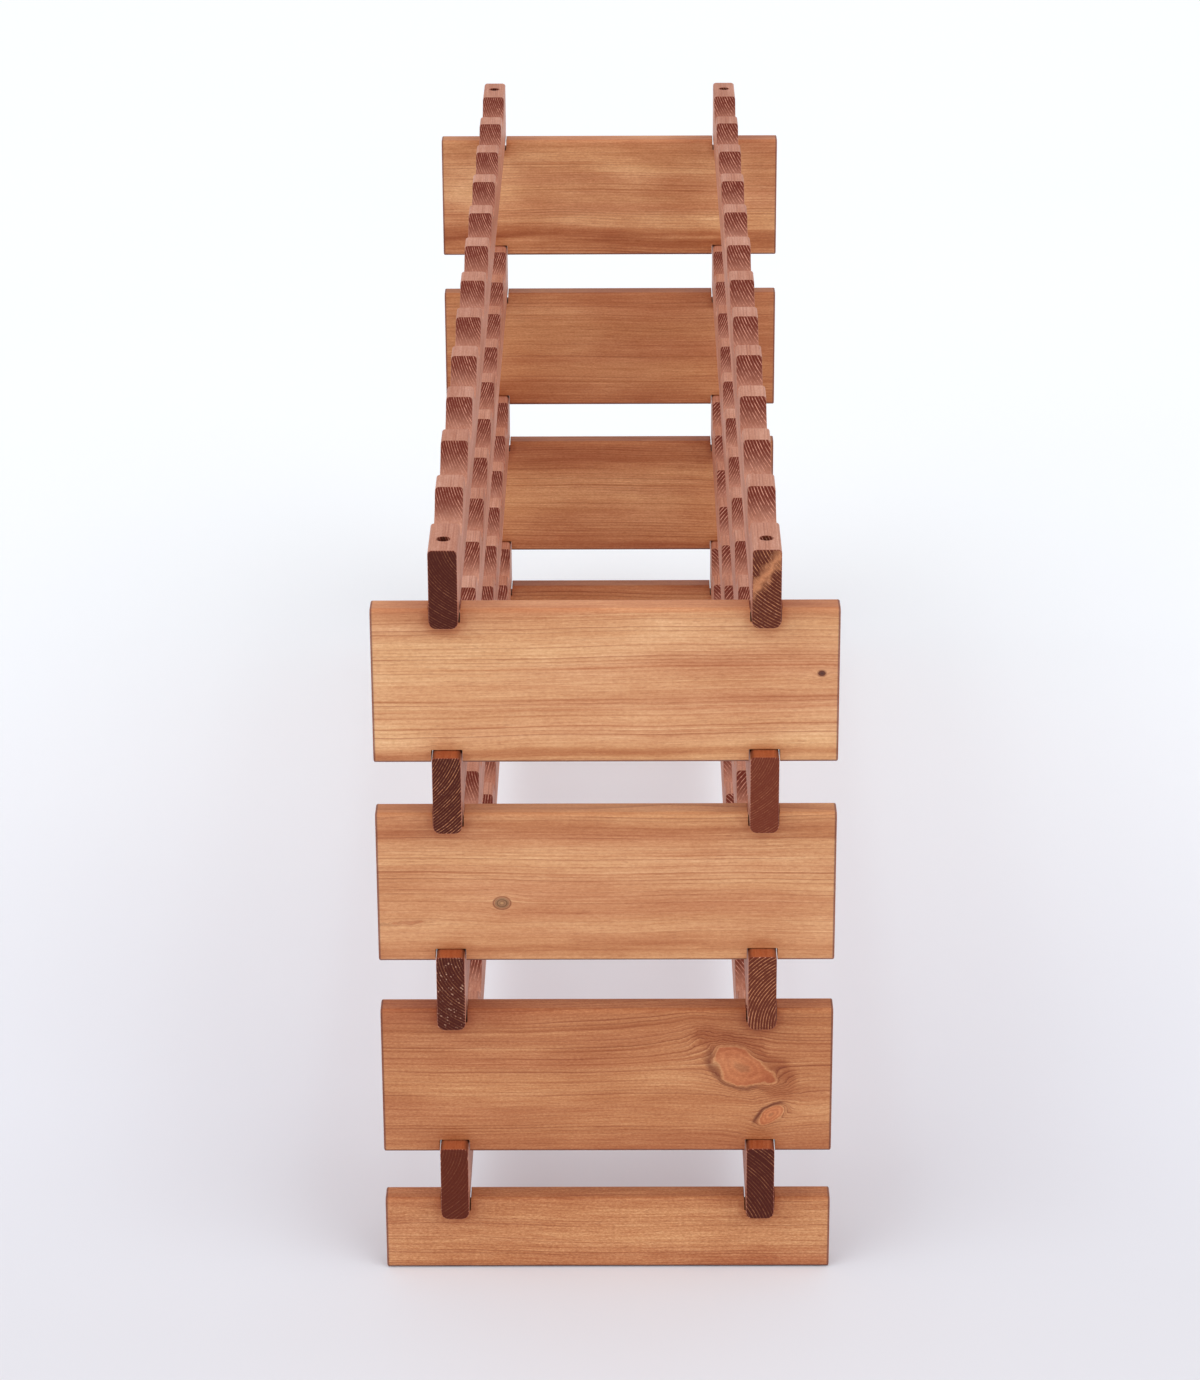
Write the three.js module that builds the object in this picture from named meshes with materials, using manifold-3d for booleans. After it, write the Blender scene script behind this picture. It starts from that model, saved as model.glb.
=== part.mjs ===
// A knock-down pine wine rack: notched end boards, scalloped bottle rails and the dowels that pin them.
//
// Millimetres, +Z up. The origin is on the floor under the middle of the rack. X runs along the rails
// from the left end to the right, and Y from the front of the rack to its back. The rack comes apart
// layer by layer: each pair of rails drops into the notches of the boards below, over dowels, and the
// next pair of boards drops onto the rails.

import * as THREE from "three";
import { mergeVertices } from "three/addons/utils/BufferGeometryUtils.js";
import Module from "manifold-3d";

const wasm = await Module();
wasm.setup();

// ---- Driving dimensions ----

const LAYERS = 4; // pairs of bottle rails, one above the other
const TIMBER = 18; // thickness of every board and every rail

const BOARD_WIDTH = 290;
const BOARD_HEIGHT = 103;
const BASE_BOARD_HEIGHT = 51.5; // the board on the floor is half as high as the others
const BOARD_EDGE_RADIUS = 3;

const RAIL_LENGTH = 1160;
const RAIL_HEIGHT = 51.5;
const RAIL_SPACING = 198; // front rail to back rail, centre to centre
const RAIL_OVERHANG = 12; // from the outer face of a board to the end of the rail
const RAIL_TOP_RADIUS = 2.5;
const RAIL_BOTTOM_RADIUS = 4.5;

const SCALLOPS = 12; // bottles in a row
const SCALLOP_PITCH = 90.5;
const SCALLOP_CHORD = 67.5; // width of a scallop at the top of the rail
const SCALLOP_DEPTH = 18.5;

const NOTCH_DEPTH = 8.8;
const NOTCH_CLEARANCE = 0.8; // between a rail and each wall of its notch

const DOWEL_DIAMETER = 8;
const DOWEL_LENGTH = 30;
const DOWEL_CHAMFER = 1;

const FIT_GAP = 0.3; // left between pieces that touch

// ---- Fineness of the round surfaces ----

const EDGE_SEGMENTS = 1; // every rounded edge is one flat facet
const SCALLOP_SEGMENTS = 8;
const DOWEL_SIDES = 8;
const HOLE_SIDES = 10;

// ---- Worked out from the above ----

const LAYER_PITCH = BOARD_HEIGHT + RAIL_HEIGHT - 2 * NOTCH_DEPTH + 2 * FIT_GAP;
const FIRST_RAIL_BOTTOM = BASE_BOARD_HEIGHT - NOTCH_DEPTH + FIT_GAP;
const BOARD_CENTRE_X = RAIL_LENGTH / 2 - RAIL_OVERHANG - TIMBER / 2;
const RAIL_CENTRE_Y = RAIL_SPACING / 2;
const NOTCH_WIDTH = TIMBER + 2 * NOTCH_CLEARANCE;
const HOLE_DEPTH = DOWEL_LENGTH / 2 + FIT_GAP;
const HOLE_RADIUS = DOWEL_DIAMETER / 2 + FIT_GAP;
const SCALLOP_RADIUS = (SCALLOP_CHORD ** 2 / 4 + SCALLOP_DEPTH ** 2) / (2 * SCALLOP_DEPTH);

// How far a cutter reaches past the surface that it opens.
const CUTTER_MARGIN = 5;

const ENDS = [
  { name: "left", side: -1 },
  { name: "right", side: 1 },
];
const ROWS = [
  { name: "front", side: -1 },
  { name: "back", side: 1 },
];

// ---- Finishes ----

const boardFinish = new THREE.MeshStandardMaterial({ color: "#c68a5e", roughness: 0.5, metalness: 0 });
const railFinish = new THREE.MeshStandardMaterial({ color: "#a0694f", roughness: 0.55, metalness: 0 });
const dowelFinish = new THREE.MeshStandardMaterial({ color: "#d8b98c", roughness: 0.7, metalness: 0 });

// ---- Solids: joining and cutting ----

function toSolid(geometry) {
  const bare = geometry.clone();
  bare.deleteAttribute("normal");
  bare.deleteAttribute("uv");
  const merged = mergeVertices(bare);
  return new wasm.Manifold(
    new wasm.Mesh({
      numProp: 3,
      vertProperties: new Float32Array(merged.attributes.position.array),
      triVerts: new Uint32Array(merged.index.array),
    }),
  );
}

function toGeometry(solid) {
  const { vertProperties, triVerts } = solid.getMesh();
  const geometry = new THREE.BufferGeometry();
  geometry.setAttribute("position", new THREE.BufferAttribute(vertProperties, 3));
  geometry.setIndex(new THREE.BufferAttribute(triVerts, 1));
  const faceted = geometry.toNonIndexed();
  faceted.computeVertexNormals();
  return faceted;
}

// ---- Outlines and extrusions ----

// A bar's section, centred across its width and standing on its lower edge.
function barSection(width, height, lowerRadius, upperRadius) {
  const half = width / 2;
  const section = new THREE.Shape();
  section.absarc(half - lowerRadius, lowerRadius, lowerRadius, -Math.PI / 2, 0);
  section.absarc(half - upperRadius, height - upperRadius, upperRadius, 0, Math.PI / 2);
  section.absarc(upperRadius - half, height - upperRadius, upperRadius, Math.PI / 2, Math.PI);
  section.absarc(lowerRadius - half, lowerRadius, lowerRadius, Math.PI, Math.PI * 1.5);
  return section;
}

// Drawn in XZ and extruded along Y, centred on Y = 0.
function extrudeAcross(shape, length, curveSegments) {
  const geometry = new THREE.ExtrudeGeometry(shape, { depth: length, bevelEnabled: false, curveSegments });
  return geometry.translate(0, 0, -length / 2).rotateX(Math.PI / 2);
}

// Drawn in YZ and extruded along X, centred on X = 0.
function extrudeAlong(shape, length, curveSegments) {
  const geometry = new THREE.ExtrudeGeometry(shape, { depth: length, bevelEnabled: false, curveSegments });
  const turn = new THREE.Matrix4().makeBasis(
    new THREE.Vector3(0, 1, 0),
    new THREE.Vector3(0, 0, 1),
    new THREE.Vector3(1, 0, 0),
  );
  return geometry.translate(0, 0, -length / 2).applyMatrix4(turn);
}

// ---- Cutters ----

// A blind dowel hole. It starts at height z and runs depth further, up (1) or down (-1).
function dowelHole(x, y, z, direction) {
  const length = HOLE_DEPTH + CUTTER_MARGIN;
  const middle = z + (direction * (HOLE_DEPTH - CUTTER_MARGIN)) / 2;
  const cutter = new THREE.CylinderGeometry(HOLE_RADIUS, HOLE_RADIUS, length, HOLE_SIDES);
  return toSolid(cutter.rotateX(Math.PI / 2).translate(x, y, middle));
}

// The notch that takes a rail. Its floor is at height z, and it opens up (1) or down (-1).
function railNotch(y, z, direction) {
  const height = NOTCH_DEPTH + CUTTER_MARGIN;
  const cutter = new THREE.BoxGeometry(TIMBER + 2 * CUTTER_MARGIN, NOTCH_WIDTH, height);
  return toSolid(cutter.translate(0, y, z + (direction * height) / 2));
}

// ---- Sub-parts ----

// An end board, standing on z = 0. Only the board on the floor has no notches in its lower edge.
function endBoard(height, hasLowerNotches) {
  const section = barSection(TIMBER, height, BOARD_EDGE_RADIUS, BOARD_EDGE_RADIUS);
  let board = toSolid(extrudeAcross(section, BOARD_WIDTH, EDGE_SEGMENTS));
  for (const row of ROWS) {
    const y = row.side * RAIL_CENTRE_Y;
    const upperFloor = height - NOTCH_DEPTH;
    board = board.subtract(railNotch(y, upperFloor, 1));
    board = board.subtract(dowelHole(0, y, upperFloor, -1));
    if (hasLowerNotches) {
      board = board.subtract(railNotch(y, NOTCH_DEPTH, -1));
      board = board.subtract(dowelHole(0, y, NOTCH_DEPTH, 1));
    }
  }
  return toGeometry(board);
}

// The side view of a rail, with its row of scallops in the upper edge.
function railSideView() {
  const halfLength = RAIL_LENGTH / 2;
  const halfAngle = Math.asin(SCALLOP_CHORD / 2 / SCALLOP_RADIUS);
  const centreHeight = RAIL_HEIGHT - SCALLOP_DEPTH + SCALLOP_RADIUS;
  const view = new THREE.Shape();
  view.moveTo(halfLength, 0);
  view.lineTo(halfLength, RAIL_HEIGHT);
  for (let i = SCALLOPS - 1; i >= 0; i -= 1) {
    const x = (i - (SCALLOPS - 1) / 2) * SCALLOP_PITCH;
    view.absarc(x, centreHeight, SCALLOP_RADIUS, -Math.PI / 2 + halfAngle, -Math.PI / 2 - halfAngle, true);
  }
  view.lineTo(-halfLength, RAIL_HEIGHT);
  view.lineTo(-halfLength, 0);
  return view;
}

// A bottle rail, standing on z = 0: a moulded bar with the scallops cut straight across it.
function bottleRail() {
  const section = barSection(TIMBER, RAIL_HEIGHT, RAIL_BOTTOM_RADIUS, RAIL_TOP_RADIUS);
  const bar = toSolid(extrudeAlong(section, RAIL_LENGTH, EDGE_SEGMENTS));
  const widePlate = toSolid(extrudeAcross(railSideView(), TIMBER + 2 * CUTTER_MARGIN, SCALLOP_SEGMENTS));
  let rail = bar.intersect(widePlate);
  for (const end of ENDS) {
    rail = rail.subtract(dowelHole(end.side * BOARD_CENTRE_X, 0, 0, 1));
    rail = rail.subtract(dowelHole(end.side * BOARD_CENTRE_X, 0, RAIL_HEIGHT, -1));
  }
  return toGeometry(rail);
}

// A dowel, upright, centred on the origin, with chamfered ends.
function dowel() {
  const radius = DOWEL_DIAMETER / 2;
  const half = DOWEL_LENGTH / 2;
  const outline = [
    new THREE.Vector2(0, -half),
    new THREE.Vector2(radius - DOWEL_CHAMFER, -half),
    new THREE.Vector2(radius, DOWEL_CHAMFER - half),
    new THREE.Vector2(radius, half - DOWEL_CHAMFER),
    new THREE.Vector2(radius - DOWEL_CHAMFER, half),
    new THREE.Vector2(0, half),
  ];
  return toGeometry(toSolid(new THREE.LatheGeometry(outline, DOWEL_SIDES).rotateX(Math.PI / 2)));
}

// ---- Assembly ----

function place(group, name, geometry, material, x, y, z) {
  const mesh = new THREE.Mesh(geometry, material);
  mesh.name = name;
  mesh.position.set(x, y, z);
  group.add(mesh);
}

function railBottom(layer) {
  return FIRST_RAIL_BOTTOM + (layer - 1) * LAYER_PITCH;
}

function railTop(layer) {
  return railBottom(layer) + RAIL_HEIGHT;
}

// The boards of one end, from the floor up. Board n stands on the rails of layer n.
function buildEnd(end) {
  const group = new THREE.Group();
  group.position.x = end.side * BOARD_CENTRE_X;
  place(group, `base_board_${end.name}`, baseBoardShape, boardFinish, 0, 0, 0);
  for (let n = 1; n < LAYERS; n += 1) {
    const z = railTop(n) + FIT_GAP - NOTCH_DEPTH;
    place(group, `end_board_${end.name}_${n}`, endBoardShape, boardFinish, 0, 0, z);
  }
  return group;
}

// One row of rails, front or back, from the lowest layer up.
function buildRow(row) {
  const group = new THREE.Group();
  group.position.y = row.side * RAIL_CENTRE_Y;
  for (let layer = 1; layer <= LAYERS; layer += 1) {
    place(group, `bottle_rail_${row.name}_${layer}`, railShape, railFinish, 0, 0, railBottom(layer));
  }
  return group;
}

// The dowels at one corner: one under every rail, and one on top of it where a board stands on it.
function buildCorner(end, row) {
  const group = new THREE.Group();
  group.position.set(end.side * BOARD_CENTRE_X, row.side * RAIL_CENTRE_Y, 0);
  for (let layer = 1; layer <= LAYERS; layer += 1) {
    const name = `dowel_${end.name}_${row.name}_${layer}`;
    place(group, `${name}_lower`, dowelShape, dowelFinish, 0, 0, railBottom(layer) - FIT_GAP / 2);
    if (layer < LAYERS) {
      place(group, `${name}_upper`, dowelShape, dowelFinish, 0, 0, railTop(layer) + FIT_GAP / 2);
    }
  }
  return group;
}

const baseBoardShape = endBoard(BASE_BOARD_HEIGHT, false);
const endBoardShape = endBoard(BOARD_HEIGHT, true);
const railShape = bottleRail();
const dowelShape = dowel();

const rack = new THREE.Group();
for (const end of ENDS) {
  rack.add(buildEnd(end));
  for (const row of ROWS) {
    rack.add(buildCorner(end, row));
  }
}
for (const row of ROWS) {
  rack.add(buildRow(row));
}

export default rack;
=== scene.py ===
"""The looks of a knock-down pine wine rack: end boards, bottle rails and the dowels that pin them.

Metres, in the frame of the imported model: +X along the rails, +Y from front to back, +Z up.
Every board, rail and dowel of the model is stood for by a finely shaped piece in its own place.
"""

import math

import bmesh
import bpy
from mathutils import Matrix, Vector


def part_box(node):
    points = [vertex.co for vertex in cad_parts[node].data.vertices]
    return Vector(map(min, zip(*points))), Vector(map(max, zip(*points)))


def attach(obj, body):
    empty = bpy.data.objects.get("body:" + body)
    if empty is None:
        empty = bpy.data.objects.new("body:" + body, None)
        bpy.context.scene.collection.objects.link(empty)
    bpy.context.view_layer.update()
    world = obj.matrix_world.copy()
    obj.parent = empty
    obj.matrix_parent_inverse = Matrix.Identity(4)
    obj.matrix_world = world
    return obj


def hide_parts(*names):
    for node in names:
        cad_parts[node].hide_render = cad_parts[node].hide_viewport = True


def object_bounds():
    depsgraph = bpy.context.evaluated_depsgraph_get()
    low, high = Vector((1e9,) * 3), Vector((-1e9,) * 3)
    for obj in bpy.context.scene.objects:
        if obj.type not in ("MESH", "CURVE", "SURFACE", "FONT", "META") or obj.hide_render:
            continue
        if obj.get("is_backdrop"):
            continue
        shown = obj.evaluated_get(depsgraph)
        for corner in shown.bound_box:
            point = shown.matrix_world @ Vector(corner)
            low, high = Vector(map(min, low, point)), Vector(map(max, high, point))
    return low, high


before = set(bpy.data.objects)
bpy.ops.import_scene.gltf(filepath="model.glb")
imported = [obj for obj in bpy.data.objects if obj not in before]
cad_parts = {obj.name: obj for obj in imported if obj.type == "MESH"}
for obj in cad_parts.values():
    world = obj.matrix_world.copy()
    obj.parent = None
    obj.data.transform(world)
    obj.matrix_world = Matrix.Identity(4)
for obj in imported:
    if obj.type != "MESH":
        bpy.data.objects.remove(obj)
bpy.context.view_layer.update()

MM = 0.001

# ---- The joinery, as in the model ----

RAIL_Y = 99 * MM  # from the middle of the rack to the middle of a rail
BOARD_X = 559 * MM  # from the middle of the rack to the middle of a board
BOARD_EDGE_RADIUS = 3 * MM
RAIL_TOP_RADIUS = 2.5 * MM
RAIL_BOTTOM_RADIUS = 4.5 * MM
SCALLOPS = 12
SCALLOP_PITCH = 90.5 * MM
SCALLOP_CHORD = 67.5 * MM
SCALLOP_DEPTH = 18.5 * MM
NOTCH_DEPTH = 8.8 * MM
NOTCH_WIDTH = 19.6 * MM
HOLE_RADIUS = 4.3 * MM
HOLE_DEPTH = 15.3 * MM

# ---- Small easings on the cut edges, guessed ----

CUT_EASE = 0.5 * MM  # along both edges of a scallop and a notch floor
RIM_EASE = 0.8 * MM  # where a scallop meets the crest beside it
MOUTH_EASE = 0.7 * MM  # at the mouth of a notch
FLOOR_EASE = 0.7 * MM  # in the inside corners of a notch
NOTCH_DRAFT = 0.04 * MM  # how much narrower a notch is at its floor, each side
BOARD_END_EASE = 1.1 * MM
RAIL_END_EASE = 0.7 * MM
HOLE_RIM = 0.45 * MM  # how far a dowel hole flares at its mouth
HOLE_FLARE_REACH = 1 * MM  # how far the flare's cutter stands out of the mouth
HOLE_TIP = 1 * MM  # the drill's chamfer at the bottom

ARC_STEPS = 5
EASE_STEPS = 4
SCALLOP_STEPS = 24
LEAST_STEP = 0.1 * MM  # between a scallop's rim and the first station of its bowl
HOLE_SIDES = 32
SHARP_ANGLE = math.radians(50)


# ---- Bars: a moulded section with cuts across its upper and lower edges ----


def section_columns(width, radius):
    """Across a bar, side to side: each column's place and the height it loses to the rounded edge."""
    half = width / 2
    arc = []
    for i in range(ARC_STEPS + 1):
        turn = math.pi / 2 * i / ARC_STEPS
        arc.append((half - radius * (1 - math.cos(turn)), radius * (1 - math.sin(turn))))
    return [(-x, drop) for x, drop in arc] + arc[::-1]


def cut_ease(x, half):
    """How far a cut surface falls away near the sides of the bar."""
    beyond = abs(x) - (half - CUT_EASE)
    if beyond <= 0:
        return 0.0
    return CUT_EASE - math.sqrt(max(CUT_EASE**2 - beyond**2, 0.0))


def end_inset(s, length, ease):
    """How far the section shrinks at s, close to an end of the bar."""
    beyond = abs(s) - (length / 2 - ease)
    if beyond <= 0:
        return 0.0
    return ease - math.sqrt(max(ease**2 - beyond**2, 0.0))


def with_ends(stations, length, ease):
    """Stations of an uncut bar's two ends, round stations that lie between them."""
    ends = []
    for i in range(EASE_STEPS + 1):
        turn = math.pi / 2 * i / EASE_STEPS
        ends.append(length / 2 - ease * (1 - math.cos(turn)))
    first = [(-s, 0.0) for s in ends]
    last = [(s, 0.0) for s in ends[::-1]]
    return first + stations + last


def scallop_stations(length):
    """(place, depth of cut) along a rail's upper edge, scallop after scallop."""
    radius = (SCALLOP_CHORD**2 / 4 + SCALLOP_DEPTH**2) / (2 * SCALLOP_DEPTH)
    half_angle = math.asin(SCALLOP_CHORD / 2 / radius)
    tangent = RIM_EASE * math.tan(half_angle / 2)
    rim = []
    for i in range(EASE_STEPS + 1):
        turn = half_angle * i / EASE_STEPS
        outward = SCALLOP_CHORD / 2 + tangent - RIM_EASE * math.sin(turn)
        rim.append((outward, RIM_EASE * (1 - math.cos(turn))))
    bowl = []
    for i in range(1, SCALLOP_STEPS):
        turn = half_angle * math.sin(math.pi / 2 * (2 * i / SCALLOP_STEPS - 1))
        depth = SCALLOP_DEPTH - radius * (1 - math.cos(turn))
        if depth > rim[-1][1] + LEAST_STEP:
            bowl.append((radius * math.sin(turn), depth))
    one = [(-s, cut) for s, cut in rim] + bowl + rim[::-1]
    stations = []
    for i in range(SCALLOPS):
        middle = (i - (SCALLOPS - 1) / 2) * SCALLOP_PITCH
        stations += [(middle + s, cut) for s, cut in one]
    return with_ends(stations, length, RAIL_END_EASE)


def notch_stations(length):
    """(place, depth of cut) along a board's edge, with a notch at each row of rails."""
    side = []
    for i in range(EASE_STEPS + 1):
        turn = math.pi / 2 * i / EASE_STEPS
        outward = NOTCH_WIDTH / 2 + MOUTH_EASE * (1 - math.sin(turn))
        side.append((outward, MOUTH_EASE * (1 - math.cos(turn))))
    for i in range(EASE_STEPS + 1):
        turn = math.pi / 2 * i / EASE_STEPS
        inward = NOTCH_WIDTH / 2 - NOTCH_DRAFT - FLOOR_EASE * (1 - math.cos(turn))
        side.append((inward, NOTCH_DEPTH - FLOOR_EASE * (1 - math.sin(turn))))
    one = [(-s, cut) for s, cut in side] + side[::-1]
    stations = []
    for middle in (-RAIL_Y, RAIL_Y):
        stations += [(middle + s, cut) for s, cut in one]
    return with_ends(stations, length, BOARD_END_EASE)


def bar_mesh(name, size, stations, radii, cuts, ease):
    """A bar's mesh, standing on zero. size is (length, width, height).

    radii are those of its long edges, and cuts says whether its stations cut them: lower, upper.
    """
    length, width, height = size
    lower = section_columns(width, radii[0])
    upper = section_columns(width, radii[1])
    half = width / 2
    verts = []
    for s, cut in stations:
        inset = end_inset(s, length, ease)
        squeeze = 1 - inset / half
        for x, drop in lower:
            z = max(drop, (cut if cuts[0] else 0.0) + cut_ease(x, half))
            verts.append((s, x * squeeze, z + inset))
        for x, drop in upper:
            z = height - max(drop, (cut if cuts[1] else 0.0) + cut_ease(x, half))
            verts.append((s, x * squeeze, z - inset))
    ring = len(lower) + len(upper)
    top = len(lower)
    faces = []
    for i in range(len(stations) - 1):
        a, b = i * ring, (i + 1) * ring
        for j in range(top - 1):
            faces.append((a + j, a + j + 1, b + j + 1, b + j))
        for j in range(top, ring - 1):
            faces.append((a + j, b + j, b + j + 1, a + j + 1))
        faces.append((a, b, b + top, a + top))
        faces.append((a + top - 1, a + ring - 1, b + ring - 1, b + top - 1))
    last = (len(stations) - 1) * ring
    cap = list(range(top)) + list(range(ring - 1, top - 1, -1))
    faces.append(tuple(cap[::-1]))
    faces.append(tuple(last + k for k in cap))
    mesh = bpy.data.meshes.new(name)
    mesh.from_pydata(verts, [], faces)
    return mesh


def hole_cutter(places):
    """Round cutters with a flared mouth. Each place is (point at the mouth, 1 for up or -1 for down)."""
    build = bmesh.new()
    profile = [
        (HOLE_RADIUS + HOLE_RIM + HOLE_FLARE_REACH, -HOLE_FLARE_REACH),
        (HOLE_RADIUS, HOLE_RIM),
        (HOLE_RADIUS, HOLE_DEPTH - HOLE_TIP),
        (HOLE_RADIUS - HOLE_TIP, HOLE_DEPTH),
    ]
    for mouth, way in places:
        rings = []
        for radius, depth in profile:
            ring = []
            for i in range(HOLE_SIDES):
                turn = 2 * math.pi * i / HOLE_SIDES
                spot = Vector((radius * math.cos(turn), radius * math.sin(turn), way * depth))
                ring.append(build.verts.new(mouth + spot))
            rings.append(ring)
        for a, b in zip(rings, rings[1:]):
            for i in range(HOLE_SIDES):
                j = (i + 1) % HOLE_SIDES
                build.faces.new((a[i], a[j], b[j], b[i]))
        build.faces.new(rings[0])
        build.faces.new(rings[-1])
    bmesh.ops.recalc_face_normals(build, faces=build.faces)
    mesh = bpy.data.meshes.new("hole_cutter")
    build.to_mesh(mesh)
    build.free()
    cutter = bpy.data.objects.new("hole_cutter", mesh)
    bpy.context.scene.collection.objects.link(cutter)
    return cutter


def bored_piece(name, mesh, turned, foot, holes):
    """The object for a bar: placed in the frame, its dowel holes bored and its normals settled.

    turned lays the bar along Y instead of X, and foot is the middle of its underside.
    """
    build = bmesh.new()
    build.from_mesh(mesh)
    turn = Matrix(((0, 1, 0), (1, 0, 0), (0, 0, 1))).to_4x4() if turned else Matrix.Identity(4)
    bmesh.ops.transform(build, matrix=Matrix.Translation(foot) @ turn, verts=build.verts)
    bmesh.ops.recalc_face_normals(build, faces=build.faces)
    build.to_mesh(mesh)
    build.free()
    piece = bpy.data.objects.new(name, mesh)
    bpy.context.scene.collection.objects.link(piece)
    cutter = hole_cutter(holes)
    bore = piece.modifiers.new("bore", "BOOLEAN")
    bore.operation = "DIFFERENCE"
    bore.solver = "EXACT"
    bore.object = cutter
    graph = bpy.context.evaluated_depsgraph_get()
    bored = bpy.data.meshes.new_from_object(piece.evaluated_get(graph))
    bored.name = name
    piece.modifiers.clear()
    piece.data = bored
    bpy.data.objects.remove(cutter)
    bpy.data.meshes.remove(mesh)
    shade_smooth(piece)
    return piece


def shade_smooth(piece):
    """Smooth shading with weighted normals, broken at sharp edges."""
    piece.data.polygons.foreach_set("use_smooth", [True] * len(piece.data.polygons))
    piece.data.set_sharp_from_angle(angle=SHARP_ANGLE)
    weigh = piece.modifiers.new("weighted_normals", "WEIGHTED_NORMAL")
    weigh.keep_sharp = True


def board_piece(node):
    """An end board or base board, in the place of its CAD node."""
    low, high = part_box(node)
    size = high - low
    middle = (low + high) / 2
    lower_notches = not node.startswith("base")
    stations = notch_stations(size.y)
    radii = (BOARD_EDGE_RADIUS, BOARD_EDGE_RADIUS)
    cuts = (lower_notches, True)
    mesh = bar_mesh(node, (size.y, size.x, size.z), stations, radii, cuts, BOARD_END_EASE)
    holes = []
    for y in (-RAIL_Y, RAIL_Y):
        holes.append((Vector((middle.x, y, high.z - NOTCH_DEPTH)), -1))
        if lower_notches:
            holes.append((Vector((middle.x, y, low.z + NOTCH_DEPTH)), 1))
    foot = Vector((middle.x, middle.y, low.z))
    return bored_piece(node + "_timber", mesh, True, foot, holes)


def rail_piece(node):
    """A bottle rail, in the place of its CAD node."""
    low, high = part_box(node)
    size = high - low
    middle = (low + high) / 2
    stations = scallop_stations(size.x)
    radii = (RAIL_BOTTOM_RADIUS, RAIL_TOP_RADIUS)
    mesh = bar_mesh(node, (size.x, size.y, size.z), stations, radii, (False, True), RAIL_END_EASE)
    holes = []
    for x in (-BOARD_X, BOARD_X):
        holes.append((Vector((x, middle.y, low.z)), 1))
        holes.append((Vector((x, middle.y, high.z)), -1))
    foot = Vector((middle.x, middle.y, low.z))
    return bored_piece(node + "_timber", mesh, False, foot, holes)


FLUTES = 16
FLUTE_DEPTH = 0.35 * MM
FLUTE_COLUMNS = 4  # to each flute
DOWEL_CHAMFER = 1 * MM

# A dowel's end: (distance from its tip, radius lost, share of the flutes' full depth).
DOWEL_END = (
    (0.0, DOWEL_CHAMFER, 0.0),
    (0.3 * MM, 0.5 * MM, 0.2),
    (DOWEL_CHAMFER, 0.0, 0.8),
    (2 * DOWEL_CHAMFER, 0.0, 1.0),
)


def dowel_piece(node):
    """A fluted dowel, in the place of its CAD node."""
    low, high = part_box(node)
    middle = (low + high) / 2
    radius = (high.x - low.x) / 2
    half = (high.z - low.z) / 2
    sides = FLUTE_COLUMNS * FLUTES
    levels = [(s - half, radius - lost, fluted) for s, lost, fluted in DOWEL_END]
    levels += [(half - s, radius - lost, fluted) for s, lost, fluted in reversed(DOWEL_END)]
    verts = []
    for z, level_radius, fluted in levels:
        for i in range(sides):
            turn = 2 * math.pi * i / sides
            groove = FLUTE_DEPTH * fluted * (0.5 - 0.5 * math.cos(FLUTES * turn))
            r = level_radius - groove
            verts.append((middle.x + r * math.cos(turn), middle.y + r * math.sin(turn), middle.z + z))
    faces = [tuple(reversed(range(sides)))]
    for k in range(len(levels) - 1):
        for i in range(sides):
            j = (i + 1) % sides
            faces.append((k * sides + i, k * sides + j, (k + 1) * sides + j, (k + 1) * sides + i))
    faces.append(tuple(range((len(levels) - 1) * sides, len(levels) * sides)))
    mesh = bpy.data.meshes.new(node)
    mesh.from_pydata(verts, [], faces)
    piece = bpy.data.objects.new(node + "_fluted", mesh)
    bpy.context.scene.collection.objects.link(piece)
    shade_smooth(piece)
    return piece


# ---- Shader nodes, spelled short ----


def linear(*colour):
    """An 8-bit sRGB colour as the linear colour that a shader takes."""
    out = []
    for c in colour:
        c = c / 255
        out.append(c / 12.92 if c <= 0.04045 else ((c + 0.055) / 1.055) ** 2.4)
    return (*out, 1.0)


# How much of each colour one measure of stain lets through.
STAIN = (0.675, 0.49, 0.4)
SURFACE_IOR = 1.5
COAT_ROUGHNESS = 0.28
FINE_RELIEF = 0.1 * MM


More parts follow.
